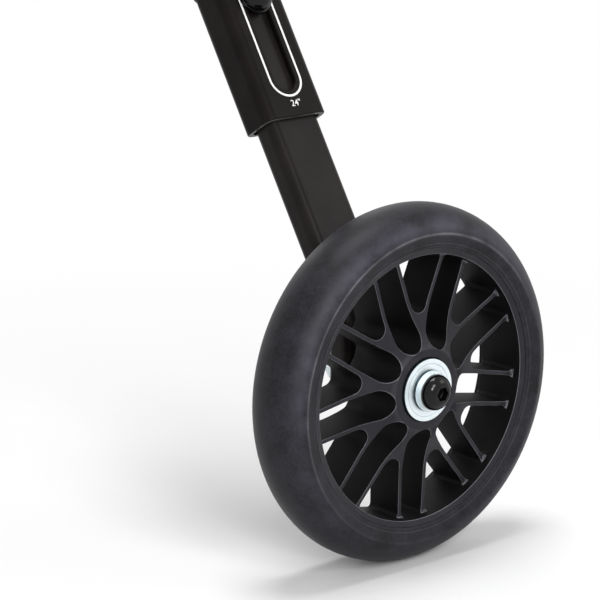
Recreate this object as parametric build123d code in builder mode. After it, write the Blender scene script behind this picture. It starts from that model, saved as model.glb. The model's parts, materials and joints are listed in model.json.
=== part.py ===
"""Bicycle training wheel: a spoked wheel on a bent tube leg that slides in a slotted sleeve.

Millimetres, +Z up. The origin is the centre of the hole that goes on the bicycle's rear axle.
X runs fore and aft, and -Y is outboard, away from the bicycle.
"""
import os
from math import cos, radians, sin, tan

from build123d import *

# Arm layout
arm_tilt = 32.5  # lean of the sleeve and the leg from the vertical, degrees
weld_drop = 36.0  # from the axle hole down to where the arm's axis meets the plate
slot_travel = 35.3  # how far the clamp bolt can travel down the slot
leg_length = 134.2  # along the leg, from the clamp bolt to the bend
leg_top_margin = 7.3  # tube left above the clamp bolt
leg_top_gap = 0.59  # along the arm, from the leg's upper corner to the plate when the leg is up
leg_drop = 20.1  # from the bend down to the wheel's axle
leg_foot = 8.4  # from the wheel's axle down to the end of the tube

# Axle plate
plate_width = 36.0
plate_thickness = 5.0
plate_edge_radius = 0.8
axle_hole_diameter = 10.5

# Leg tube and sleeve tube
leg_width = 25.5
leg_depth = 12.5
leg_wall = 1.6
leg_corner_radius = 4.2
leg_bend_radius = 18.0
sleeve_gap = 0.35
sleeve_wall = 2.5
sleeve_corner_radius = 4.8
sleeve_end_margin = 10.9  # sleeve left below the slot
slot_width = 10.2

# Tyre
tyre_diameter = 140.0
tyre_width = 28.5
tyre_height = 15.75  # from the rim out to the tread
tyre_shoulder_drop = 9.6  # from the tread in to the tyre's widest ring
tyre_crown_half_width = 7.5
tyre_crown_drop = 1.8  # fall of the crown from its middle to its edge
tyre_edge_fillet = 0.9
leg_to_tyre_gap = 3.25

# Moulded wheel. The spokes are Y-shaped: a stem at the hub and two branches to the rim.
# The outline of the windows between them is drawn on the parting line, where the spokes are thickest
rim_face_height = 2.35  # from the rim's lip out to the tyre
rim_lip_half_width = 11.4
rim_wall = 2.88  # from the windows out to the tyre, on the parting line
rim_rib_width = 9.0
rim_rib_height = 2.2
rim_rib_flank = 1.2
web_front = 7.4  # the spokes' outboard face, from the wheel's middle
web_back = 8.7  # the spokes' inboard face, from the wheel's middle
web_fillet_radius = 1.4
dish_radius = 36.0  # where the spokes' faces start to rise to the hub
parting_inset = 2.4  # parting line, inboard of the wheel's middle
moulding_draft = 2.0  # degrees, from the parting line out to both faces
spoke_count = 9
first_spoke_angle = 8.1  # degrees above +X, seen from outboard
stem_width = 4.1
branch_width = 2.3
branch_angle = 21.1  # between a branch and its stem, degrees
hub_window_radius = 16.45  # nearest that the windows between the stems come to the axle
crotch_radius = 29.2  # nearest that the windows between the branches come to the axle
window_corner_radius = 1.6
hub_length = 24.6  # between the washers' seats
hub_face_height = 1.4  # how far the hub stands up round each seat
hub_face_diameter = 31.0
washer_recess_clearance = 0.5  # between a seated washer and the hub round it

# Bearing and axle hardware, for an M8 bolt
bolt_diameter = 8.0
bolt_clearance = 0.4  # on the diameter, in plain washers, spacers and tube holes
thread_clearance = 0.1  # on the diameter, in nuts
fit_gap = 0.05  # radial, between pieces that are pressed or run together
axial_play = 0.2  # at each end of the hub
spacer_diameter = 12.0
bush_diameter = 16.0
bush_length = 9.0
bush_flange_diameter = 20.0
bush_flange_thickness = 1.5
penny_washer_diameter = 24.4
penny_washer_thickness = 2.0
plain_washer_diameter = 16.0
plain_washer_thickness = 1.4
spring_washer_diameter = 14.8
spring_washer_thickness = 2.0
spring_washer_cut = 1.4
head_diameter = 14.0
head_height = 4.6
head_rim_height = 0.9
head_top_diameter = 6.6
socket_across_flats = 5.0
socket_depth = 2.8
nut_across_flats = 13.0
nut_hex_height = 6.5
nut_corner_cut = 0.8
nut_collar_diameter = 11.4
nut_collar_height = 1.5
standoff_diameter = 14.0
crush_sleeve_diameter = 12.0
thread_beyond_nut = 1.5

# Clamp hardware
clamp_washer_diameter = 15.0
clamp_washer_thickness = 1.6
clamp_washer_gap = 0.08  # between the washer and the sleeve it slides on
clamp_nut_width = 13.0
clamp_nut_height = 6.0

# End plug of the leg
plug_flange_thickness = 1.5
plug_tongue_length = 6.5
plug_wall = 1.6
plug_relief = 1.1  # between each tongue and the crush sleeve

# Directions and places worked out from the sizes above
tilt = radians(arm_tilt)
down_arm = Vector(0, -sin(tilt), -cos(tilt))
arm_face = Vector(0, -cos(tilt), sin(tilt))
outboard = Vector(0, -1, 0)
plate_face_y = -plate_thickness / 2
arm_start = Vector(0, plate_face_y, -weld_drop)
# Along the arm, from the plate to the clamp bolt when the leg is up
slot_start = leg_top_margin + leg_top_gap + leg_depth / 2 / tan(tilt)
sleeve_length = slot_start + slot_travel + slot_width / 2 + sleeve_end_margin
bend_point = arm_start + down_arm * (slot_start + leg_length)
leg_top = arm_start + down_arm * (slot_start - leg_top_margin)
axle_on_leg = bend_point - Vector(0, 0, leg_drop)
leg_bottom = axle_on_leg - Vector(0, 0, leg_foot)
tyre_half = tyre_width / 2
leg_face = leg_to_tyre_gap + tyre_half  # from the wheel's middle in to the leg's face
leg_back = leg_face + leg_depth
wheel_centre = axle_on_leg + outboard * (leg_face + leg_depth / 2)
leg_inner_width = leg_width - 2 * leg_wall
leg_inner_depth = leg_depth - 2 * leg_wall
leg_inner_corner = leg_corner_radius - leg_wall
sleeve_inner_width = leg_width + 2 * sleeve_gap
sleeve_inner_depth = leg_depth + 2 * sleeve_gap
sleeve_width = sleeve_inner_width + 2 * sleeve_wall
sleeve_depth = sleeve_inner_depth + 2 * sleeve_wall
bolt_hole_diameter = bolt_diameter + bolt_clearance
nut_hole_diameter = bolt_diameter + thread_clearance
spacer_half = hub_length / 2 + axial_play
tread_radius = tyre_diameter / 2
tyre_shoulder_radius = tread_radius - tyre_shoulder_drop
rim_outer_radius = tread_radius - tyre_height
rim_lip_radius = rim_outer_radius - rim_face_height
window_outer_radius = rim_outer_radius - rim_wall
# The windows between the stems have a round end, and sides that lean in towards the rim
half_pitch = radians(180 / spoke_count)
side_lean = radians(branch_angle) - half_pitch
window_end_radius = (hub_window_radius * sin(half_pitch) - stem_width / 2) / (1 - sin(half_pitch))
window_end_centre = hub_window_radius + window_end_radius
branch_side_offset = window_end_centre * sin(side_lean) + window_end_radius
# The windows between the branches taper to a point, which is rounded
crotch_apex = (branch_side_offset + branch_width) / sin(radians(branch_angle))
crotch_end_radius = (crotch_radius - crotch_apex) / (1 / sin(radians(branch_angle)) - 1)

axle_axis = Axis(tuple(wheel_centre), tuple(outboard))
# Local x is outboard and local y is up: a profile drawn here is turned about the axle
section_plane = Plane(tuple(wheel_centre), x_dir=tuple(outboard), z_dir=(-1, 0, 0))


def axle_plane(offset):
    """A plane across the axle, offset outboard of the wheel's middle, with local z outboard."""
    origin = wheel_centre + outboard * offset
    return Plane(tuple(origin), x_dir=(1, 0, 0), z_dir=tuple(outboard))


def arm_plane(distance):
    """A plane across the arm, at a distance down from the plate, with local z up the arm."""
    origin = arm_start + down_arm * distance
    return Plane(tuple(origin), x_dir=(1, 0, 0), z_dir=tuple(-down_arm))


def face_plane(height):
    """A plane parallel to the arm's front, at a height over the arm's axis, at the clamp bolt."""
    origin = arm_start + down_arm * slot_start + arm_face * height
    return Plane(tuple(origin), x_dir=(1, 0, 0), z_dir=tuple(arm_face))


def save(piece, name):
    piece.part.label = name
    export_step(piece.part, f"parts/{name}.step")


def ring(plane, outer_diameter, inner_diameter, thickness):
    """A washer or spacer that stands on a plane."""
    with BuildPart() as piece:
        with BuildSketch(plane):
            Circle(outer_diameter / 2)
            Circle(inner_diameter / 2, mode=Mode.SUBTRACT)
        extrude(amount=thickness)
    return piece


def button_bolt(head_plane, shank_length):
    """A domed socket bolt: the head stands on the plane, and the shank goes the other way."""
    top = head_top_diameter / 2
    rim = head_diameter / 2
    profile_plane = Plane(head_plane.origin, x_dir=head_plane.x_dir, z_dir=-head_plane.y_dir)
    dome_middle = (rim * 0.83, (head_height + head_rim_height) * 0.58)
    with BuildPart() as piece:
        with BuildSketch(profile_plane):
            with BuildLine():
                Line((0, 0), (rim, 0))
                Line((rim, 0), (rim, head_rim_height))
                ThreePointArc((rim, head_rim_height), dome_middle, (top, head_height))
                Line((top, head_height), (0, head_height))
                Line((0, head_height), (0, 0))
            make_face()
        revolve(axis=Axis(head_plane.origin, head_plane.z_dir))
        with BuildSketch(head_plane):
            Circle(bolt_diameter / 2)
        extrude(amount=-shank_length)
        with BuildSketch(head_plane.offset(head_height)):
            RegularPolygon(socket_across_flats / 2, 6, major_radius=False)
        extrude(amount=-socket_depth, mode=Mode.SUBTRACT)
    return piece


def branch_window():
    """The window between the two branches of one spoke, whose stem lies along +X."""
    half_angle = radians(branch_angle)
    far_x = crotch_apex + window_outer_radius * cos(half_angle)
    far_y = window_outer_radius * sin(half_angle)
    with BuildSketch() as window:
        with BuildLine():
            Polyline((crotch_apex, 0), (far_x, far_y), (far_x, -far_y), close=True)
        make_face()
        Circle(window_outer_radius, mode=Mode.INTERSECT)
        fillet(window.vertices().sort_by(Axis.X)[0], crotch_end_radius)
        fillet(window.vertices().group_by(SortBy.DISTANCE)[-1], window_corner_radius)
    return window.sketch


def stem_window():
    """The window between two neighbouring spokes, with its middle along +X."""
    side = Vector(sin(side_lean), cos(side_lean)) * window_end_radius
    start = Vector(window_end_centre, 0) + side
    past_rim = start + Vector(cos(side_lean), -sin(side_lean)) * window_outer_radius
    with BuildSketch() as window:
        with BuildLine():
            ThreePointArc((start.X, start.Y), (hub_window_radius, 0), (start.X, -start.Y))
            Polyline(
                (start.X, -start.Y),
                (past_rim.X, -past_rim.Y),
                (past_rim.X, past_rim.Y),
                (start.X, start.Y),
            )
        make_face()
        Circle(window_outer_radius, mode=Mode.INTERSECT)
        fillet(window.vertices().group_by(SortBy.DISTANCE)[-1], window_corner_radius)
    return window.sketch


os.makedirs("parts", exist_ok=True)

# Axle plate, with rounded ends about the axle hole and about the welded sleeve
with BuildPart() as axle_plate:
    with BuildSketch(Plane((0, plate_face_y, 0), x_dir=(1, 0, 0), z_dir=(0, -1, 0))):
        with Locations((0, -weld_drop / 2)):
            SlotCenterToCenter(weld_drop, plate_width, rotation=90)
    extrude(amount=-plate_thickness)
    fillet(axle_plate.faces().sort_by(Axis.Y)[-1].edges(), plate_edge_radius)
    with BuildSketch(Plane((0, plate_face_y, 0), x_dir=(1, 0, 0), z_dir=(0, -1, 0))):
        Circle(axle_hole_diameter / 2)
    extrude(amount=-plate_thickness, mode=Mode.SUBTRACT)
save(axle_plate, "axle_plate")

# Sleeve: a tube cut off along the plate, with a slot down its front wall
with BuildPart() as sleeve_tube:
    with BuildSketch(arm_plane(sleeve_length)):
        RectangleRounded(sleeve_width, sleeve_depth, sleeve_corner_radius)
        RectangleRounded(
            sleeve_inner_width,
            sleeve_inner_depth,
            sleeve_corner_radius - sleeve_wall,
            mode=Mode.SUBTRACT,
        )
    extrude(amount=sleeve_length + sleeve_depth / tan(tilt))
    split(bisect_by=Plane((0, plate_face_y, 0), z_dir=(0, -1, 0)), keep=Keep.TOP)
    with BuildSketch(face_plane(sleeve_inner_depth / 2)):
        with Locations((0, -slot_travel / 2)):
            SlotCenterToCenter(slot_travel, slot_width, rotation=90)
    extrude(amount=sleeve_wall, mode=Mode.SUBTRACT)
save(sleeve_tube, "sleeve_tube")

# Leg: a tube with one bend, drilled for the wheel's axle and for the clamp bolt
with BuildPart() as leg_tube:
    with BuildLine() as leg_path:
        FilletPolyline(
            tuple(leg_bottom), tuple(bend_point), tuple(leg_top), radius=leg_bend_radius
        )
    with BuildSketch(Plane(tuple(leg_bottom))):
        RectangleRounded(leg_width, leg_depth, leg_corner_radius)
    sweep(path=leg_path.line)
    with BuildSketch(Plane(tuple(leg_bottom))):
        RectangleRounded(leg_inner_width, leg_inner_depth, leg_inner_corner)
    sweep(path=leg_path.line, mode=Mode.SUBTRACT)
    with BuildSketch(axle_plane(-leg_face)):
        Circle(bolt_hole_diameter / 2)
    extrude(amount=-leg_depth, mode=Mode.SUBTRACT)
    with BuildSketch(face_plane(leg_depth / 2)):
        Circle(bolt_hole_diameter / 2)
    extrude(amount=-leg_wall, mode=Mode.SUBTRACT)
save(leg_tube, "leg_tube")

# End plug: a flange under the tube, and two tongues that pass either side of the crush sleeve
plug_width = leg_inner_width - 2 * fit_gap
plug_depth = leg_inner_depth - 2 * fit_gap
plug_corner = leg_inner_corner - fit_gap
with BuildPart() as leg_end_plug:
    with BuildSketch(Plane(tuple(leg_bottom))):
        RectangleRounded(leg_width, leg_depth, leg_corner_radius)
    extrude(amount=-plug_flange_thickness)
    fillet(leg_end_plug.faces().sort_by(Axis.Z)[0].edges(), plug_flange_thickness / 2)
    with BuildSketch(Plane(tuple(leg_bottom))):
        RectangleRounded(plug_width, plug_depth, plug_corner)
        RectangleRounded(
            plug_width - 2 * plug_wall,
            plug_depth - 2 * plug_wall,
            plug_corner - plug_wall / 2,
            mode=Mode.SUBTRACT,
        )
        Rectangle(crush_sleeve_diameter + 2 * plug_relief, leg_depth, mode=Mode.SUBTRACT)
    extrude(amount=plug_tongue_length)
save(leg_end_plug, "leg_end_plug")

# Tyre: one revolved section with a groove that grips the rim's rib
lip_slope = (tyre_half - rim_lip_half_width) / (tyre_shoulder_radius - rim_lip_radius)
tyre_seat_radius = rim_outer_radius + fit_gap
tyre_edge_half = rim_lip_half_width + lip_slope * (tyre_seat_radius - rim_lip_radius)
groove_half = rim_rib_width / 2 + fit_gap
groove_radius = tyre_seat_radius + rim_rib_height
crown_edge_radius = tread_radius - tyre_crown_drop
with BuildPart() as tyre:
    with BuildSketch(section_plane):
        with BuildLine():
            crown = ThreePointArc(
                (-tyre_crown_half_width, crown_edge_radius),
                (0, tread_radius),
                (tyre_crown_half_width, crown_edge_radius),
            )
            TangentArc(crown @ 1, (tyre_half, tyre_shoulder_radius), tangent=crown % 1)
            TangentArc(crown @ 0, (-tyre_half, tyre_shoulder_radius), tangent=-(crown % 0))
            Polyline(
                (tyre_half, tyre_shoulder_radius),
                (tyre_edge_half, tyre_seat_radius),
                (groove_half, tyre_seat_radius),
                (groove_half - rim_rib_flank, groove_radius),
                (rim_rib_flank - groove_half, groove_radius),
                (-groove_half, tyre_seat_radius),
                (-tyre_edge_half, tyre_seat_radius),
                (-tyre_half, tyre_shoulder_radius),
            )
        make_face()
    revolve(axis=axle_axis)
    rings = tyre.edges().filter_by(GeomType.CIRCLE)
    widest = rings.filter_by(lambda edge: abs(edge.radius - tyre_shoulder_radius) < 0.01)
    fillet(widest, tyre_edge_fillet)
save(tyre, "tyre")

# Moulded wheel: rim, dished spoke web and hub in one piece, with drafted windows through the web
rim_edge_half = rim_lip_half_width + lip_slope * (rim_outer_radius - rim_lip_radius)
rib_half = rim_rib_width / 2
rib_radius = rim_outer_radius + rim_rib_height
hub_half = hub_length / 2 + hub_face_height
hub_face_radius = hub_face_diameter / 2
wall_slope = tan(radians(moulding_draft))
front_wall_radius = rim_lip_radius - wall_slope * (rim_lip_half_width - web_front)
back_wall_radius = rim_lip_radius - wall_slope * (rim_lip_half_width - web_back)
with BuildPart() as wheel_core:
    with BuildSketch(section_plane):
        with BuildLine():
            Polyline(
                (-web_back, dish_radius),
                (-web_back, back_wall_radius),
                (-rim_lip_half_width, rim_lip_radius),
                (-rim_edge_half, rim_outer_radius),
                (-rib_half, rim_outer_radius),
                (rim_rib_flank - rib_half, rib_radius),
                (rib_half - rim_rib_flank, rib_radius),
                (rib_half, rim_outer_radius),
                (rim_edge_half, rim_outer_radius),
                (rim_lip_half_width, rim_lip_radius),
                (web_front, front_wall_radius),
                (web_front, dish_radius),
            )
            TangentArc((web_front, dish_radius), (hub_half, hub_face_radius), tangent=(0, -1))
            Polyline(
                (hub_half, hub_face_radius),
                (hub_half, 0),
                (-hub_half, 0),
                (-hub_half, hub_face_radius),
            )
            TangentArc((-web_back, dish_radius), (-hub_half, hub_face_radius), tangent=(0, -1))
        make_face()
    revolve(axis=axle_axis)
    rings = wheel_core.edges().filter_by(GeomType.CIRCLE)
    for wall_radius in (front_wall_radius, back_wall_radius):
        web_corner = rings.filter_by(lambda edge: abs(edge.radius - wall_radius) < 0.001)
        fillet(web_corner, web_fillet_radius)
    for side in (1, -1):
        with BuildSketch(axle_plane(-parting_inset)):
            with PolarLocations(0, spoke_count, start_angle=first_spoke_angle):
                add(branch_window())
            with PolarLocations(0, spoke_count, start_angle=first_spoke_angle + 180 / spoke_count):
                add(stem_window())
        extrude(
            amount=hub_half + side * parting_inset,
            dir=tuple(outboard * side),
            taper=-moulding_draft,
            mode=Mode.SUBTRACT,
        )
    with BuildSketch(axle_plane(-hub_length / 2)):
        Circle(bush_diameter / 2 + fit_gap)
    extrude(amount=hub_length, mode=Mode.SUBTRACT)
    for side in (1, -1):
        with BuildSketch(axle_plane(side * hub_length / 2)):
            Circle(bush_flange_diameter / 2 + fit_gap)
        extrude(
            amount=bush_flange_thickness, dir=tuple(outboard * -side), mode=Mode.SUBTRACT
        )
        with BuildSketch(axle_plane(side * hub_length / 2)):
            Circle(penny_washer_diameter / 2 + washer_recess_clearance)
        extrude(amount=hub_face_height, dir=tuple(outboard * side), mode=Mode.SUBTRACT)
save(wheel_core, "wheel_core")

# Flanged bushes, pressed into both ends of the hub
for name, side in (("hub_bush_outboard", 1), ("hub_bush_inboard", -1)):
    bush_face = axle_plane(side * hub_length / 2)
    inward = tuple(outboard * -side)
    with BuildPart() as hub_bush:
        with BuildSketch(bush_face):
            Circle(bush_diameter / 2)
        extrude(amount=bush_length, dir=inward)
        with BuildSketch(bush_face):
            Circle(bush_flange_diameter / 2)
        extrude(amount=bush_flange_thickness, dir=inward)
        with BuildSketch(bush_face):
            Circle(spacer_diameter / 2 + fit_gap)
        extrude(amount=bush_length, dir=inward, mode=Mode.SUBTRACT)
    save(hub_bush, name)

# Axle stack, from the bolt's head in to the nut behind the leg
penny_top = spacer_half + penny_washer_thickness
plain_top = penny_top + plain_washer_thickness
spring_top = plain_top + spring_washer_thickness
nut_seat = leg_back + plain_washer_thickness
nut_height = nut_hex_height + nut_collar_height
axle_length = spring_top + nut_seat + nut_height + thread_beyond_nut
save(button_bolt(axle_plane(spring_top), axle_length), "axle_bolt")
penny = (penny_washer_diameter, bolt_hole_diameter, penny_washer_thickness)
save(ring(axle_plane(spacer_half), *penny), "penny_washer_outboard")
save(ring(axle_plane(-penny_top), *penny), "penny_washer_inboard")
plain = (plain_washer_diameter, bolt_hole_diameter, plain_washer_thickness)
save(ring(axle_plane(penny_top), *plain), "plain_washer_outboard")
save(ring(axle_plane(-nut_seat), *plain), "plain_washer_inboard")
spacer = (spacer_diameter, bolt_hole_diameter, 2 * spacer_half)
save(ring(axle_plane(-spacer_half), *spacer), "axle_spacer")
standoff = (standoff_diameter, bolt_hole_diameter, leg_face - penny_top)
save(ring(axle_plane(-leg_face), *standoff), "leg_standoff")
crush_sleeve = (crush_sleeve_diameter, bolt_hole_diameter, leg_inner_depth)
save(ring(axle_plane(leg_wall - leg_back), *crush_sleeve), "leg_crush_sleeve")

# Spring washer, split on a slant
with BuildPart() as spring_washer:
    with BuildSketch(axle_plane(plain_top)):
        Circle(spring_washer_diameter / 2)
        Circle(bolt_hole_diameter / 2, mode=Mode.SUBTRACT)
        with Locations((0, spring_washer_diameter / 2)):
            cut_length = spring_washer_diameter - bolt_hole_diameter
            Rectangle(spring_washer_cut, 2 * cut_length, rotation=-20, mode=Mode.SUBTRACT)
    extrude(amount=spring_washer_thickness)
save(spring_washer, "spring_washer")

# Locking nut: a hexagon with its outer corners cut back, and a round collar
with BuildPart() as axle_nut:
    with BuildSketch(axle_plane(-nut_seat)):
        RegularPolygon(nut_across_flats / 2, 6, major_radius=False)
    extrude(amount=-nut_hex_height)
    with BuildSketch(axle_plane(-nut_seat)):
        Circle(nut_across_flats / 2 + nut_hex_height + nut_corner_cut)
    extrude(amount=-nut_hex_height, taper=45, mode=Mode.INTERSECT)
    with BuildSketch(axle_plane(-nut_seat - nut_hex_height)):
        Circle(nut_collar_diameter / 2)
    extrude(amount=-nut_collar_height)
    with BuildSketch(axle_plane(-nut_seat)):
        Circle(nut_hole_diameter / 2)
    extrude(amount=-nut_height, mode=Mode.SUBTRACT)
save(axle_nut, "axle_nut")

# Clamp: a bolt and washer on the sleeve's front, and a square nut welded inside the leg
clamp_seat = sleeve_depth / 2 + clamp_washer_gap
clamp_head_seat = clamp_seat + clamp_washer_thickness
clamp_nut_top = leg_inner_depth / 2
clamp_shank = clamp_head_seat - clamp_nut_top + clamp_nut_height + thread_beyond_nut
clamp_ring = (clamp_washer_diameter, bolt_hole_diameter, clamp_washer_thickness)
save(ring(face_plane(clamp_seat), *clamp_ring), "clamp_washer")
save(button_bolt(face_plane(clamp_head_seat), clamp_shank), "clamp_bolt")
with BuildPart() as clamp_nut:
    with BuildSketch(face_plane(clamp_nut_top)):
        Rectangle(clamp_nut_width, clamp_nut_width)
        Circle(nut_hole_diameter / 2, mode=Mode.SUBTRACT)
    extrude(amount=-clamp_nut_height)
save(clamp_nut, "clamp_nut")
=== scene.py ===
"""Looks of the bicycle training wheel: finishes, print, weld, fine edges, floor, light and camera.

Metres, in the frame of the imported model: the origin is the rear-axle hole, +Z up, -Y outboard.
"""
import json
from math import cos, pi, radians, sin, sqrt, tau

import bpy
from mathutils import Matrix, Vector


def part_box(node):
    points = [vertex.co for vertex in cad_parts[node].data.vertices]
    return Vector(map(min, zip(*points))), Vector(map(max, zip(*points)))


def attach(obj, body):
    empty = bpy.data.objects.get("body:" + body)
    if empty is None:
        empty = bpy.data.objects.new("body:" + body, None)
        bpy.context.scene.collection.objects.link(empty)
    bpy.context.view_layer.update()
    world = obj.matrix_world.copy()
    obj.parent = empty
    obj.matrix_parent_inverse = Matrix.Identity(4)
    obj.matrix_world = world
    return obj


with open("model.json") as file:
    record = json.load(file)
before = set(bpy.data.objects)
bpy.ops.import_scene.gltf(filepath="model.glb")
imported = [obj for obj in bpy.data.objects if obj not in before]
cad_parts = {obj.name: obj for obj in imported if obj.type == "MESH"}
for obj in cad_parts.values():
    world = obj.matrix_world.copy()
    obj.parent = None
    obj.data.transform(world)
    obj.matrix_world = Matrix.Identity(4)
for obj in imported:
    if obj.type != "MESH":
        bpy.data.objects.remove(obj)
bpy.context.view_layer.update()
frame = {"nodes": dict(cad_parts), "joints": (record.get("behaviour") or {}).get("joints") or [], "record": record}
nodes = frame["nodes"]
joints = {joint["name"]: joint for joint in frame["joints"]}
MM = 0.001

# Places taken from the frame
WHEEL_CENTRE = Vector(joints["wheel_spin"]["pos_m"])
DOWN_ARM = Vector(joints["leg_slide"]["axis"]).normalized()
SLOT_TRAVEL = joints["leg_slide"]["range_m"][1]
ACROSS_ARM = Vector((1, 0, 0))
ARM_FACE = ACROSS_ARM.cross(-DOWN_ARM).normalized()
AXLE = Vector((0, 1, 0))
FLOOR_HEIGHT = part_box("tyre")[0].z
PLATE_FACE_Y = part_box("axle_plate")[0].y
NUT_END_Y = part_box("axle_nut")[1].y
CLAMP_WASHER = (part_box("clamp_washer")[0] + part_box("clamp_washer")[1]) / 2

# The sleeve's sizes, as in its solid, which the print and the weld follow
ARM_START = Vector((0, -2.5, -36.0)) * MM
SLEEVE_WIDTH = 31.2 * MM
SLEEVE_DEPTH = 18.2 * MM
SLEEVE_CORNER = 4.8 * MM
CLAMP_CENTRE = ARM_START + DOWN_ARM * (CLAMP_WASHER - ARM_START).dot(DOWN_ARM)
ARC_STEPS = 24

# Print round the slot and below it
OUTLINE_RADIUS = 7.5 * MM
OUTLINE_WIDTH = 0.88 * MM
PRINT_THICKNESS = 0.05 * MM
NUMBER_HEIGHT = 2.75 * MM
NUMBER_TEXT_SIZE = NUMBER_HEIGHT * 1.35
NUMBER_STROKE = 0.012 * MM
NUMBER_CURVE_STEPS = 6
NUMBER_ASIDE = 0.8 * MM
NUMBER_BELOW_SLOT = 10.8 * MM

# Weld over the sleeve's end. A wander is a share of the radius and a count of waves
WELD_RADIUS = 1.6 * MM
WELD_LOW_END = 4.0 * MM
WELD_SIDES = 14
WELD_RIPPLES = 40
WELD_STEPS_PER_RIPPLE = 6
WELD_RIPPLE_DEPTH = 0.17
WELD_TAPER_START = 0.12
WELD_TAPER_RISE = 0.2
WELD_WANDERS = ((0.05, 5), (0.04, 13))

# Lock nut's nylon ring and the axle bolt's thread
RING_INNER_RADIUS = 4.03 * MM
RING_OUTER_RADIUS = 5.05 * MM
RING_HEIGHT = 0.28 * MM
RING_SIDES = 72
RING_CROWN_STEPS = 10
THREAD_PITCH = 1.25 * MM
THREAD_START_Y = NUT_END_Y + 0.1 * MM
THREAD_REACH = 2 * RING_INNER_RADIUS

# Rings on the tyre's sidewall, as distances from the axle, and the side where dust and painted sheen are strongest
CREST_RADIUS = 60.1 * MM
CREST_BAND = 0.75 * MM
SHEEN_BLOOM_RADIUS = 63.0 * MM
SHEEN_BLOOM_BAND = 4.5 * MM
DUST_AND_SHEEN_ANGLE = radians(114)
DUST_AND_SHEEN_SIDE = Vector((cos(DUST_AND_SHEEN_ANGLE), 0, sin(DUST_AND_SHEEN_ANGLE)))
MOULD_RING_RADIUS = 55.9 * MM
MOULD_RING_BAND = 2.0 * MM
MOULD_RING_PITCH = 1.3 * MM
CLOUD_SHARE = 0.65

# How far the painted highlight on the moulded wheel's rounded edges is turned from its faces, as a cosine
EDGE_FACING = 0.62
EDGE_FACING_BAND = 0.25

# Punched washers on the axle, the painted dark line on the pressed ring of the wide ones, and the marks of turning
WASHERS = (
    "penny_washer_outboard",
    "plain_washer_outboard",
    "penny_washer_inboard",
    "plain_washer_inboard",
)
PRESSED_RING_RADIUS = 10.3 * MM
PRESSED_RING_BAND = 0.22 * MM
TURNING_PITCH = 0.45 * MM

# Colours as linear red, green and blue. A pair is a finish's dark and light patches
PAINT_TONES = (0.008, 0.0067, 0.0063), (0.0112, 0.0094, 0.0088)
# The leg's paint is painted lighter than the sleeve's: painted light, for the stronger light on the leg
LIT_LEG_PAINT_TONES = (0.0105, 0.0088, 0.0083), (0.0145, 0.0122, 0.0114)
# Painted highlight on a tube's cut end, standing in for glints on its edge
CUT_END_HIGHLIGHT_TONE = (0.15, 0.15, 0.15)
BOLT_TONES = (0.002, 0.0018, 0.0018), (0.0045, 0.0041, 0.0041)
ZINC_TONES = (0.74, 0.81, 0.84), (0.82, 0.88, 0.9)
# Painted shade on the washers' edges, and a painted dark line on their pressed ring
EDGE_SHADE_TONES = (0.02, 0.035, 0.042), (0.06, 0.085, 0.1)
PRESSED_RING_SHADE_TONE = (0.12, 0.16, 0.18)
RUBBER_TONES = (0.0055, 0.0052, 0.0068), (0.0245, 0.0233, 0.0305)
# Dust and painted sheen on the tyre's shoulder
DUST_AND_SHEEN_TONE = (0.068, 0.066, 0.086)
# Painted highlight along the tyre's crest
CREST_HIGHLIGHT_TONE = (0.19, 0.189, 0.205)
# Painted highlight on the tops of the sidewall's moulded rings
MOULD_RING_HIGHLIGHT_TONE = (0.08, 0.079, 0.088)
# Painted shade: the wheel's window walls are darker than its lit faces
WALL_SHADE_TONES = (0.0022, 0.002, 0.0024), (0.0045, 0.0042, 0.005)
LIT_FACE_TONES = (0.0185, 0.0176, 0.0215), (0.027, 0.0258, 0.031)
# Painted highlight on the wheel's rounded edges
EDGE_HIGHLIGHT_TONE = (0.27, 0.263, 0.29)
BUSH_TONES = (0.5, 0.5, 0.47), (0.6, 0.6, 0.57)
PRINT_TONES = (0.72, 0.72, 0.71), (0.88, 0.88, 0.87)
FLOOR_TONES = (0.89, 0.89, 0.89), (0.91, 0.91, 0.91)
WHITE = (1, 1, 1, 1)

# Gloss of each dull finish, as a specular level, and the roughness of the floor
PAINT_GLOSS = 0.05
LEG_PAINT_GLOSS = 0.085
BOLT_GLOSS = 0.24
RUBBER_GLOSS = 0.17
PLASTIC_GLOSS = 0.12
FLOOR_GLOSS = 0.1
FLOOR_ROUGHNESS = 0.9

# Fine rounding of the CAD pieces' sharp edges
MERGE_DISTANCE = 0.002 * MM
FLAT_ANGLE = radians(1.5)
EDGE_ANGLE = radians(32)
EDGE_SEGMENTS = 3
EDGE_WIDTH = 0.2 * MM
OWN_EDGE_WIDTHS = {
    "sleeve_tube": 0.5 * MM,
    "leg_tube": 0.3 * MM,
    "axle_plate": 0.3 * MM,
    "wheel_core": 0.35 * MM,
}

# Camera, fitted to the photograph
CAMERA_AZIMUTH = radians(-40.73)
CAMERA_ELEVATION = radians(14.62)
CAMERA_DISTANCE = 1.1053
CAMERA_NEAR = 0.05
CAMERA_FAR = 60
FOCAL_PIXELS = 2888.0
FRAME_PIXELS = 600.0
WHEEL_PIXEL = (402.5, 382.0)
SENSOR_WIDTH = 36.0

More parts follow.
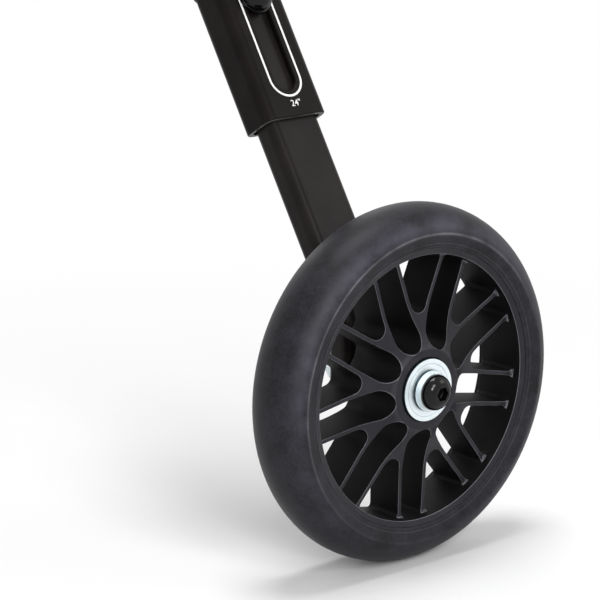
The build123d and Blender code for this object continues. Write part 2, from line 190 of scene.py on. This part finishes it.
# Studio. A lamp has a name, its place from the target, its size and its watts
SURROUND_LEVEL = 0.3
LIGHT_TARGET = WHEEL_CENTRE + Vector((0, 0.03, 0.06))
LIGHT_DISTANCE = 1.5
LIGHTS = (
    ("key", Vector((-0.41, -0.84, 0.355)) * LIGHT_DISTANCE, 0.34, 7.0),
    ("left", Vector((-0.2, -0.8, 0.56)) * LIGHT_DISTANCE, 0.4, 6.0),
    ("right", Vector((0.67, -0.55, 0.5)) * LIGHT_DISTANCE, 0.6, 2.6),
    ("back", Vector((0.3, 0.8, 0.52)) * LIGHT_DISTANCE, 1.0, 3.5),
    ("top", Vector((0.02, 0.02, 1.35)), 0.6, 11.0),
)
FLOOR_HALF = 12.0
FLOOR_GAP = 0.2 * MM
WHITE_FLOOR_START = 0.13
WHITE_FLOOR_END = 0.5


def adder(tree):
    """A helper that adds nodes to a tree, with their inputs set or linked."""

    def add(kind, inputs=None, **settings):
        node = tree.nodes.new(kind)
        for key, value in settings.items():
            setattr(node, key, value)
        for key, value in (inputs or {}).items():
            if isinstance(value, bpy.types.NodeSocket):
                tree.links.new(value, node.inputs[key])
            else:
                node.inputs[key].default_value = value
        return node

    return add


def new_material(name):
    """A material with its node tree, its shader and its adder."""
    material = bpy.data.materials.new(name)
    material.use_nodes = True
    tree = material.node_tree
    return material, tree, tree.nodes["Principled BSDF"], adder(tree)


def dress(tree, shader, colour, roughness):
    """Links a colour and a roughness to a shader."""
    tree.links.new(colour, shader.inputs["Base Color"])
    tree.links.new(roughness, shader.inputs["Roughness"])


def place(add):
    """The place of a point in the part's own frame, in metres."""
    return add("ShaderNodeTexCoord").outputs["Object"]


def noise(add, scale, detail, roughness=0.55):
    """Cloudy numbers about a half; a larger scale is a finer grain."""
    inputs = {"Vector": place(add), "Scale": scale, "Detail": detail, "Roughness": roughness}
    return add("ShaderNodeTexNoise", inputs).outputs["Fac"]


def ramp(add, factor, tones, start=0.35, end=0.65):
    """A colour that goes from the first tone to the second as a factor goes from start to end."""
    node = add("ShaderNodeValToRGB", {"Fac": factor})
    for element, position, tone in zip(node.color_ramp.elements, (start, end), tones):
        element.position = position
        element.color = (*tone, 1)
    return node.outputs["Color"]


def span(add, value, low, high, start=0.3, end=0.7):
    """A number that goes from low to high as a value goes from start to end."""
    inputs = {"Value": value, "From Min": start, "From Max": end, "To Min": low, "To Max": high}
    return add("ShaderNodeMapRange", inputs).outputs["Result"]


def math(add, operation, first, second=None, clamp=False):
    """The result of a calculation with one or two numbers."""
    inputs = {0: first}
    if second is not None:
        inputs[1] = second
    return add("ShaderNodeMath", inputs, operation=operation, use_clamp=clamp).outputs["Value"]


def band(add, value, centre, half):
    """One at a value, falling to nought at half a band either side of it."""
    away = math(add, "ABSOLUTE", math(add, "SUBTRACT", value, centre))
    return span(add, away, low=1.0, high=0.0, start=0.0, end=half)


def waves(add, value, pitch):
    """A wave along a value, between minus one and one."""
    return math(add, "SINE", math(add, "MULTIPLY", value, tau / pitch))


def mix(add, factor, first, second):
    """A colour between two colours."""
    node = add("ShaderNodeMix", {0: factor}, data_type="RGBA")
    for socket, colour in ((node.inputs[6], first), (node.inputs[7], second)):
        if isinstance(colour, bpy.types.NodeSocket):
            node.id_data.links.new(colour, socket)
        else:
            socket.default_value = (*colour, 1)
    return node.outputs[2]


def from_axle(add):
    """The way from the wheel's axle straight out to a point."""
    moved = add("ShaderNodeVectorMath", {0: place(add), 1: WHEEL_CENTRE}, operation="SUBTRACT")
    flat_inputs = {0: moved.outputs["Vector"], 1: (1, 0, 1)}
    return add("ShaderNodeVectorMath", flat_inputs, operation="MULTIPLY").outputs["Vector"]


def axle_distance(add):
    """Distance from the wheel's axle, in metres."""
    return add("ShaderNodeVectorMath", {0: from_axle(add)}, operation="LENGTH").outputs["Value"]


def toward(add, side):
    """One where a point lies to a side of the axle, falling to minus one opposite it."""
    way = add("ShaderNodeVectorMath", {0: from_axle(add)}, operation="NORMALIZE").outputs["Vector"]
    return add("ShaderNodeVectorMath", {0: way, 1: side}, operation="DOT_PRODUCT").outputs["Value"]


def facing(add, axis):
    """One where a face looks either way along an axis of the part, nought where it runs along it."""
    normal = add("ShaderNodeTexCoord").outputs["Normal"]
    dot = add("ShaderNodeVectorMath", {0: normal, 1: axis}, operation="DOT_PRODUCT")
    return math(add, "ABSOLUTE", dot.outputs["Value"])


def bump(add, tree, shader, height, strength, distance, normal=None):
    """Gives a shader a bumped surface, over another bump if there is one."""
    inputs = {"Height": height, "Strength": strength, "Distance": distance}
    if normal is not None:
        inputs["Normal"] = normal
    node = add("ShaderNodeBump", inputs)
    tree.links.new(node.outputs["Normal"], shader.inputs["Normal"])
    return node.outputs["Normal"]


def paint_material(name, tones, gloss, cut_end_highlight=False):
    """Satin black powder paint with a fine orange peel, and a painted highlight in patches on a tube's cut end."""
    material, tree, shader, add = new_material(name)
    colour = ramp(add, noise(add, scale=60, detail=5), tones)
    if cut_end_highlight:
        # Painted highlight: the cut end's face is lightened in patches
        end_face = span(add, facing(add, DOWN_ARM), low=0.0, high=1.0, start=0.93, end=0.99)
        highlight_patches = span(add, noise(add, scale=150, detail=3), low=0.3, high=1.0)
        colour = mix(add, math(add, "MULTIPLY", end_face, highlight_patches), colour, CUT_END_HIGHLIGHT_TONE)
    dress(tree, shader, colour, span(add, noise(add, scale=240, detail=3), low=0.27, high=0.35))
    shader.inputs["Specular IOR Level"].default_value = gloss
    bump(add, tree, shader, noise(add, scale=1100, detail=2), strength=0.12, distance=0.08 * MM)
    return material


def bolt_material():
    """Glossy black coating on the domed bolts, and the thread on the axle bolt's end."""
    material, tree, shader, add = new_material("black_bolt")
    colour = ramp(add, noise(add, scale=300, detail=4), BOLT_TONES)
    dress(tree, shader, colour, span(add, noise(add, scale=500, detail=3), low=0.07, high=0.13))
    shader.inputs["Specular IOR Level"].default_value = BOLT_GLOSS
    along = add("ShaderNodeSeparateXYZ", {0: place(add)}).outputs["Y"]
    past_nut = math(add, "GREATER_THAN", along, THREAD_START_Y)
    on_axle = math(add, "LESS_THAN", axle_distance(add), THREAD_REACH)
    threaded = math(add, "MULTIPLY", past_nut, on_axle)
    turns = math(add, "MULTIPLY", waves(add, along, THREAD_PITCH), threaded)
    thread = bump(add, tree, shader, turns, strength=0.9, distance=0.3 * MM)
    grain = noise(add, scale=1500, detail=2)
    bump(add, tree, shader, grain, strength=0.08, distance=0.04 * MM, normal=thread)
    return material


def zinc_material(name, painted_shade):
    """Bright zinc plate with turning marks; with painted shade, a washer gets dark edges and a dark line on its
    pressed ring.
    """
    material, tree, shader, add = new_material(name)
    radius = axle_distance(add)
    colour = ramp(add, noise(add, scale=260, detail=5), ZINC_TONES)
    if painted_shade:
        # Painted shade: a dark line in patches along the pressed ring
        ring = band(add, radius, PRESSED_RING_RADIUS, PRESSED_RING_BAND)
        pressed_ring_shade = math(add, "MULTIPLY", ring, noise(add, scale=90, detail=3))
        face = mix(add, pressed_ring_shade, colour, PRESSED_RING_SHADE_TONE)
        # Painted shade: dark edges where a washer's faces turn away from the axle
        edge = ramp(add, noise(add, scale=500, detail=4), EDGE_SHADE_TONES)
        flat_share = span(add, facing(add, AXLE), low=0.0, high=1.0, start=0.7, end=0.96)
        colour = mix(add, flat_share, edge, face)
    dress(tree, shader, colour, span(add, noise(add, scale=420, detail=4), low=0.46, high=0.58))
    shader.inputs["Metallic"].default_value = 1.0
    marks = math(add, "ADD", waves(add, radius, TURNING_PITCH), noise(add, scale=2200, detail=2))
    bump(add, tree, shader, marks, strength=0.1, distance=0.03 * MM)
    return material


def rubber_material():
    """Matt solid rubber, mottled with dust; dust and painted sheen on its shoulder, strongest to one side; painted
    highlights along its crest and on its sidewall's rings.
    """
    material, tree, shader, add = new_material("black_rubber")
    cloud = noise(add, scale=80, detail=6, roughness=0.62)
    grain = noise(add, scale=800, detail=4)
    cloud_part = math(add, "MULTIPLY", cloud, CLOUD_SHARE)
    mottle = math(add, "ADD", cloud_part, math(add, "MULTIPLY", grain, 1 - CLOUD_SHARE))
    colour = ramp(add, mottle, RUBBER_TONES, start=0.38, end=0.66)
    radius = axle_distance(add)
    # Dust and painted sheen: the shoulder is lightened in clouds, most towards one side
    dust_and_sheen_side = span(add, toward(add, DUST_AND_SHEEN_SIDE), low=0.1, high=1.0, start=-0.2, end=0.8)
    dust_and_sheen = math(add, "MULTIPLY", span(add, cloud, low=0.15, high=0.8), dust_and_sheen_side)
    dust_and_sheen_bloom = math(add, "MULTIPLY", band(add, radius, SHEEN_BLOOM_RADIUS, SHEEN_BLOOM_BAND), dust_and_sheen)
    colour = mix(add, dust_and_sheen_bloom, colour, DUST_AND_SHEEN_TONE)
    # Painted highlight: a light line along the crest, stronger on the dusty, sheened side
    crest_highlight = math(add, "MULTIPLY", band(add, radius, CREST_RADIUS, CREST_BAND), dust_and_sheen)
    colour = mix(add, crest_highlight, colour, CREST_HIGHLIGHT_TONE)
    ring_zone = band(add, radius, MOULD_RING_RADIUS, MOULD_RING_BAND)
    ridges = math(add, "MULTIPLY", waves(add, radius, MOULD_RING_PITCH), ring_zone)
    # Painted highlight: the tops of the moulded rings are lightened
    ridge_top_highlight = span(add, ridges, low=0.0, high=0.5, start=0.3, end=0.8)
    colour = mix(add, math(add, "MULTIPLY", ridge_top_highlight, cloud), colour, MOULD_RING_HIGHLIGHT_TONE)
    dress(tree, shader, colour, span(add, mottle, low=0.4, high=0.54))
    shader.inputs["Specular IOR Level"].default_value = RUBBER_GLOSS
    moulded = bump(add, tree, shader, ridges, strength=0.6, distance=0.12 * MM)
    skin = math(add, "ADD", grain, noise(add, scale=1600, detail=2))
    bump(add, tree, shader, skin, strength=0.3, distance=0.07 * MM, normal=moulded)
    return material


def plastic_material():
    """Black moulded plastic, fine grained: cloudy faces, a painted highlight on its rounded edges and painted
    shade on the walls of its windows.
    """
    material, tree, shader, add = new_material("black_plastic")
    cloud = noise(add, scale=70, detail=5)
    turned = facing(add, AXLE)
    # Painted shade: walls that run along the axle take darker tones than the faces
    face_share = span(add, turned, low=0.0, high=1.0, start=0.45, end=0.9)
    colour = mix(add, face_share, ramp(add, cloud, WALL_SHADE_TONES), ramp(add, cloud, LIT_FACE_TONES))
    # Painted highlight: rounded edges, half turned from the faces, are lightened in cloudy patches
    edges = band(add, turned, EDGE_FACING, EDGE_FACING_BAND)
    edge_highlight = math(add, "MULTIPLY", edges, span(add, cloud, low=0.5, high=1.0))
    colour = mix(add, edge_highlight, colour, EDGE_HIGHLIGHT_TONE)
    dress(tree, shader, colour, span(add, turned, low=0.62, high=0.3, start=0.3, end=0.9))
    shader.inputs["Specular IOR Level"].default_value = PLASTIC_GLOSS
    bump(add, tree, shader, noise(add, scale=1900, detail=2), strength=0.05, distance=0.03 * MM)
    return material


def bush_material():
    """Off-white moulded acetal and nylon."""
    material, tree, shader, add = new_material("bush_plastic")
    colour = ramp(add, noise(add, scale=200, detail=4), BUSH_TONES)
    dress(tree, shader, colour, span(add, noise(add, scale=600, detail=3), low=0.35, high=0.48))
    return material


def print_material():
    """White screen print, a little uneven."""
    material, tree, shader, add = new_material("white_print")
    colour = ramp(add, noise(add, scale=900, detail=4), PRINT_TONES)
    dress(tree, shader, colour, span(add, noise(add, scale=700, detail=2), low=0.4, high=0.55))
    return material


def soften(node, width):
    """Rounds a CAD piece's sharp edges a little and shades it smoothly, with its mesh left as it is."""
    for polygon in node.data.polygons:
        polygon.use_smooth = True
    weld = node.modifiers.new("weld", "WELD")
    weld.merge_threshold = MERGE_DISTANCE
    flat = node.modifiers.new("flat", "DECIMATE")
    flat.decimate_type = "DISSOLVE"
    flat.angle_limit = FLAT_ANGLE
    edge = node.modifiers.new("edge", "BEVEL")
    edge.width = width
    edge.segments = EDGE_SEGMENTS
    edge.limit_method = "ANGLE"
    edge.angle_limit = EDGE_ANGLE
    edge.use_clamp_overlap = False
    edge.loop_slide = False
    even = node.modifiers.new("even", "WEIGHTED_NORMAL")
    even.keep_sharp = True


def add_piece(name, mesh, material, body):
    """A new piece of one material that rides on a body."""
    mesh.materials.clear()
    mesh.materials.append(material)
    piece = bpy.data.objects.new(name, mesh)
    bpy.context.scene.collection.objects.link(piece)
    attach(piece, body)


def rings_mesh(name, rings, smooth=True, closed=True):
    """A skin over rings of points, with the last joined to the first or with both ends capped."""
    count, around = len(rings), len(rings[0])
    points = [tuple(point) for ring in rings for point in ring]
    faces = []
    for i in range(count if closed else count - 1):
        near, far = i * around, (i + 1) % count * around
        for j in range(around):
            after = (j + 1) % around
            faces.append((near + j, near + after, far + after, far + j))
    if not closed:
        faces.append(tuple(range(around - 1, -1, -1)))
        faces.append(tuple(range((count - 1) * around, count * around)))
    mesh = bpy.data.meshes.new(name)
    mesh.from_pydata(points, [], faces)
    for polygon in mesh.polygons:
        polygon.use_smooth = smooth
    return mesh


def on_sleeve(across, down, height):
    """A point over the sleeve's front face, from the clamp bolt's place at rest."""
    face = CLAMP_CENTRE + ARM_FACE * (SLEEVE_DEPTH / 2 + height)
    return face + ACROSS_ARM * across + DOWN_ARM * down


def stadium(radius):
    """Points round a slot shape, as across and down from the slot's upper end."""
    turns = [pi * i / ARC_STEPS for i in range(ARC_STEPS + 1)]
    lower = [(radius * cos(turn), SLOT_TRAVEL + radius * sin(turn)) for turn in turns]
    upper = [(-radius * cos(turn), -radius * sin(turn)) for turn in turns]
    return lower + upper


def slot_outline(material):
    """The printed line round the slot: a thin closed band."""
    inner = stadium(OUTLINE_RADIUS - OUTLINE_WIDTH / 2)
    outer = stadium(OUTLINE_RADIUS + OUTLINE_WIDTH / 2)
    rings = []
    for near, far in zip(inner, outer):
        base = [on_sleeve(*near, 0), on_sleeve(*far, 0)]
        rings.append(base + [on_sleeve(*far, PRINT_THICKNESS), on_sleeve(*near, PRINT_THICKNESS)])
    mesh = rings_mesh("slot_outline", rings, smooth=False)
    add_piece("slot_outline", mesh, material, "sleeve")


def wheel_size_number(material):
    """The printed wheel size below the slot."""
    text = bpy.data.curves.new("wheel_size_number", "FONT")
    text.body = '24"'
    text.align_x = "CENTER"
    text.align_y = "CENTER"
    text.size = NUMBER_TEXT_SIZE
    text.extrude = PRINT_THICKNESS / 2
    text.offset = NUMBER_STROKE
    text.resolution_u = NUMBER_CURVE_STEPS
    flat = bpy.data.objects.new("wheel_size_flat", text)
    mesh = bpy.data.meshes.new_from_object(flat)
    bpy.data.objects.remove(flat)
    spot = on_sleeve(NUMBER_ASIDE, SLOT_TRAVEL + NUMBER_BELOW_SLOT, PRINT_THICKNESS / 2)
    turn = Matrix((ACROSS_ARM, -DOWN_ARM, ARM_FACE)).transposed()
    mesh.transform(Matrix.Translation(spot) @ turn.to_4x4())
    add_piece("wheel_size_number", mesh, material, "sleeve")


def even_points(line, count):
    """Evenly spaced points along a line of straight runs."""
    reach = [0.0]
    for start, end in zip(line, line[1:]):
        reach.append(reach[-1] + (end - start).length)
    points = []
    run = 0
    for i in range(count):
        want = reach[-1] * i / (count - 1)
        while run < len(line) - 2 and reach[run + 1] < want:
            run += 1
        share = (want - reach[run]) / (reach[run + 1] - reach[run])
        points.append(line[run].lerp(line[run + 1], share))
    return points


def weld_line():
    """The upper part of the sleeve's joint, on the plate's face."""
    lean = -DOWN_ARM.y
    half_width, half_height = SLEEVE_WIDTH / 2, SLEEVE_DEPTH / 2 / lean
    corner_width, corner_height = SLEEVE_CORNER, SLEEVE_CORNER / lean
    line = [(half_width, -WELD_LOW_END)]
    for side, first_turn in ((1, 0), (-1, pi / 2)):
        for i in range(ARC_STEPS + 1):
            turn = first_turn + pi / 2 * i / ARC_STEPS
            x = side * (half_width - corner_width) + corner_width * cos(turn)
            line.append((x, half_height - corner_height + corner_height * sin(turn)))
    line.append((-half_width, -WELD_LOW_END))
    return [Vector((x, PLATE_FACE_Y, ARM_START.z + z)) for x, z in line]


def weld_bead(material):
    """The painted weld over the sleeve's end: a bead of overlapping ripples with tapered ends."""
    line = even_points(weld_line(), WELD_RIPPLES * WELD_STEPS_PER_RIPPLE)
    last = len(line) - 1
    turns = [tau * j / WELD_SIDES for j in range(WELD_SIDES)]
    rings = []
    for i, centre in enumerate(line):
        along = (line[min(i + 1, last)] - line[max(i - 1, 0)]).normalized()
        aside = along.cross(AXLE)
        share = i % WELD_STEPS_PER_RIPPLE / (WELD_STEPS_PER_RIPPLE - 1)
        wander = 1 + sum(size * sin(count * tau * i / last) for size, count in WELD_WANDERS)
        taper = sqrt(min(1, WELD_TAPER_START + WELD_TAPER_RISE * min(i, last - i)))
        radius = WELD_RADIUS * taper * wander * (1 - WELD_RIPPLE_DEPTH * share * share)
        rings.append([centre + (aside * cos(turn) - AXLE * sin(turn)) * radius for turn in turns])
    mesh = rings_mesh("weld_bead", rings, closed=False)
    add_piece("weld_bead", mesh, material, "sleeve")


def nylon_ring(material):
    """The lock nut's nylon ring, standing a little proud of its collar."""
    middle = (RING_INNER_RADIUS + RING_OUTER_RADIUS) / 2
    half = (RING_OUTER_RADIUS - RING_INNER_RADIUS) / 2
    crown_turns = [pi * i / RING_CROWN_STEPS for i in range(RING_CROWN_STEPS + 1)]
    crown = [(middle + half * cos(turn), RING_HEIGHT * sin(turn)) for turn in crown_turns]
    profile = crown + [(RING_INNER_RADIUS, -RING_HEIGHT), (RING_OUTER_RADIUS, -RING_HEIGHT)]
    axis_point = Vector((WHEEL_CENTRE.x, NUT_END_Y, WHEEL_CENTRE.z))
    rings = []
    for i in range(RING_SIDES):
        turn = tau * i / RING_SIDES
        outward = Vector((cos(turn), 0, sin(turn)))
        rings.append([axis_point + outward * radius + AXLE * height for radius, height in profile])
    add_piece("nylon_ring", rings_mesh("nylon_ring", rings), material, "leg")


def dress_nodes():
    """Gives every CAD piece its finish and its softened edges."""
    finishes = {
        "black_paint": paint_material("black_paint", PAINT_TONES, PAINT_GLOSS),
        "black_bolt": bolt_material(),
        "zinc_steel": zinc_material("zinc_steel", painted_shade=False),
        "black_rubber": rubber_material(),
        "black_plastic": plastic_material(),
        "bush_plastic": bush_material(),
    }
    own_finishes = {
        # The leg gets a lighter copy of the black paint: painted light
        "leg_tube": paint_material("lit_leg_paint", LIT_LEG_PAINT_TONES, LEG_PAINT_GLOSS),
        "sleeve_tube": paint_material("sleeve_paint", PAINT_TONES, PAINT_GLOSS, cut_end_highlight=True),
    }
    washer_zinc = zinc_material("washer_zinc", painted_shade=True)
    for name in WASHERS:
        own_finishes[name] = washer_zinc
    slots = {entry["node"]: entry["material_slot"] for entry in frame["record"]["subparts"]}
    for name, node in nodes.items():
        finish = own_finishes.get(name, finishes[slots[name]])
        node.data.materials.clear()
        node.data.materials.append(finish)
        soften(node, OWN_EDGE_WIDTHS.get(name, EDGE_WIDTH))
    return finishes


def seen(add):
    """One for the rays that show the background, straight or in a reflection, and nought for light."""
    path = add("ShaderNodeLightPath").outputs
    mirrored = math(add, "ADD", path["Is Glossy Ray"], path["Is Transmission Ray"])
    return math(add, "ADD", path["Is Camera Ray"], mirrored, clamp=True)


def make_floor():
    """A plain pale floor under the wheel, which fades to white away from it."""
    material, tree, shader, add = new_material("pale_floor")
    colour = ramp(add, noise(add, scale=3, detail=2), FLOOR_TONES)
    tree.links.new(colour, shader.inputs["Base Color"])
    shader.inputs["Roughness"].default_value = FLOOR_ROUGHNESS
    shader.inputs["Specular IOR Level"].default_value = FLOOR_GLOSS
    away = add("ShaderNodeVectorMath", {0: place(add)}, operation="LENGTH").outputs["Value"]
    far = span(add, away, low=0.0, high=1.0, start=WHITE_FLOOR_START, end=WHITE_FLOOR_END)
    white = add("ShaderNodeEmission", {"Color": WHITE, "Strength": 1.0})
    factor = math(add, "MULTIPLY", far, seen(add))
    blend_inputs = {0: factor, 1: shader.outputs["BSDF"], 2: white.outputs["Emission"]}
    blend = add("ShaderNodeMixShader", blend_inputs)
    tree.links.new(blend.outputs["Shader"], tree.nodes["Material Output"].inputs["Surface"])
    mesh = bpy.data.meshes.new("floor")
    corners = [(x * FLOOR_HALF, y * FLOOR_HALF, 0) for x, y in ((-1, -1), (1, -1), (1, 1), (-1, 1))]
    mesh.from_pydata(corners, [], [(0, 1, 2, 3)])
    mesh.materials.append(material)
    floor = bpy.data.objects.new("floor", mesh)
    floor.location = (WHEEL_CENTRE.x, WHEEL_CENTRE.y, FLOOR_HEIGHT - FLOOR_GAP)
    bpy.context.scene.collection.objects.link(floor)


def area_light(name, spot, size, power):
    """A square softbox that looks at the target."""
    lamp = bpy.data.lights.new(name, "AREA")
    lamp.shape = "SQUARE"
    lamp.size = size
    lamp.energy = power
    light = bpy.data.objects.new(name, lamp)
    light.location = spot
    light.rotation_euler = (LIGHT_TARGET - spot).to_track_quat("-Z", "Y").to_euler()
    bpy.context.scene.collection.objects.link(light)


def make_lights():
    """Soft studio light: a white surrounding and five softboxes, three of them round the front."""
    world = bpy.data.worlds.new("studio")
    bpy.context.scene.world = world
    world.use_nodes = True
    tree = world.node_tree
    add = adder(tree)
    light = tree.nodes["Background"]
    light.inputs["Color"].default_value = WHITE
    light.inputs["Strength"].default_value = SURROUND_LEVEL
    white = add("ShaderNodeBackground", {"Color": WHITE, "Strength": 1.0})
    blend_inputs = {0: seen(add), 1: light.outputs["Background"], 2: white.outputs["Background"]}
    blend = add("ShaderNodeMixShader", blend_inputs)
    tree.links.new(blend.outputs["Shader"], tree.nodes["World Output"].inputs["Surface"])
    for name, offset, size, power in LIGHTS:
        area_light(name, LIGHT_TARGET + offset, size, power)


def make_camera():
    """The photograph's camera, placed so that the wheel's centre falls on its pixel."""
    level = cos(CAMERA_ELEVATION)
    back = Vector((sin(CAMERA_AZIMUTH) * level, -cos(CAMERA_AZIMUTH) * level, sin(CAMERA_ELEVATION)))
    right = Vector((cos(CAMERA_AZIMUTH), sin(CAMERA_AZIMUTH), 0))
    up = back.cross(right)
    per_pixel = CAMERA_DISTANCE / FOCAL_PIXELS
    aside = (WHEEL_PIXEL[0] - FRAME_PIXELS / 2) * per_pixel
    below = (WHEEL_PIXEL[1] - FRAME_PIXELS / 2) * per_pixel
    data = bpy.data.cameras.new("camera")
    data.sensor_width = SENSOR_WIDTH
    data.lens = FOCAL_PIXELS / FRAME_PIXELS * SENSOR_WIDTH
    data.clip_start = CAMERA_NEAR
    data.clip_end = CAMERA_FAR
    camera = bpy.data.objects.new("camera", data)
    camera.location = WHEEL_CENTRE - right * aside + up * below + back * CAMERA_DISTANCE
    camera.rotation_mode = "QUATERNION"
    camera.rotation_quaternion = Matrix((right, up, back)).transposed().to_quaternion()
    bpy.context.scene.collection.objects.link(camera)
    bpy.context.scene.camera = camera


finishes = dress_nodes()
white_print = print_material()
slot_outline(white_print)
wheel_size_number(white_print)
weld_bead(finishes["black_paint"])
nylon_ring(finishes["bush_plastic"])
make_floor()
make_lights()
make_camera()
bpy.context.scene.view_settings.view_transform = "Standard"
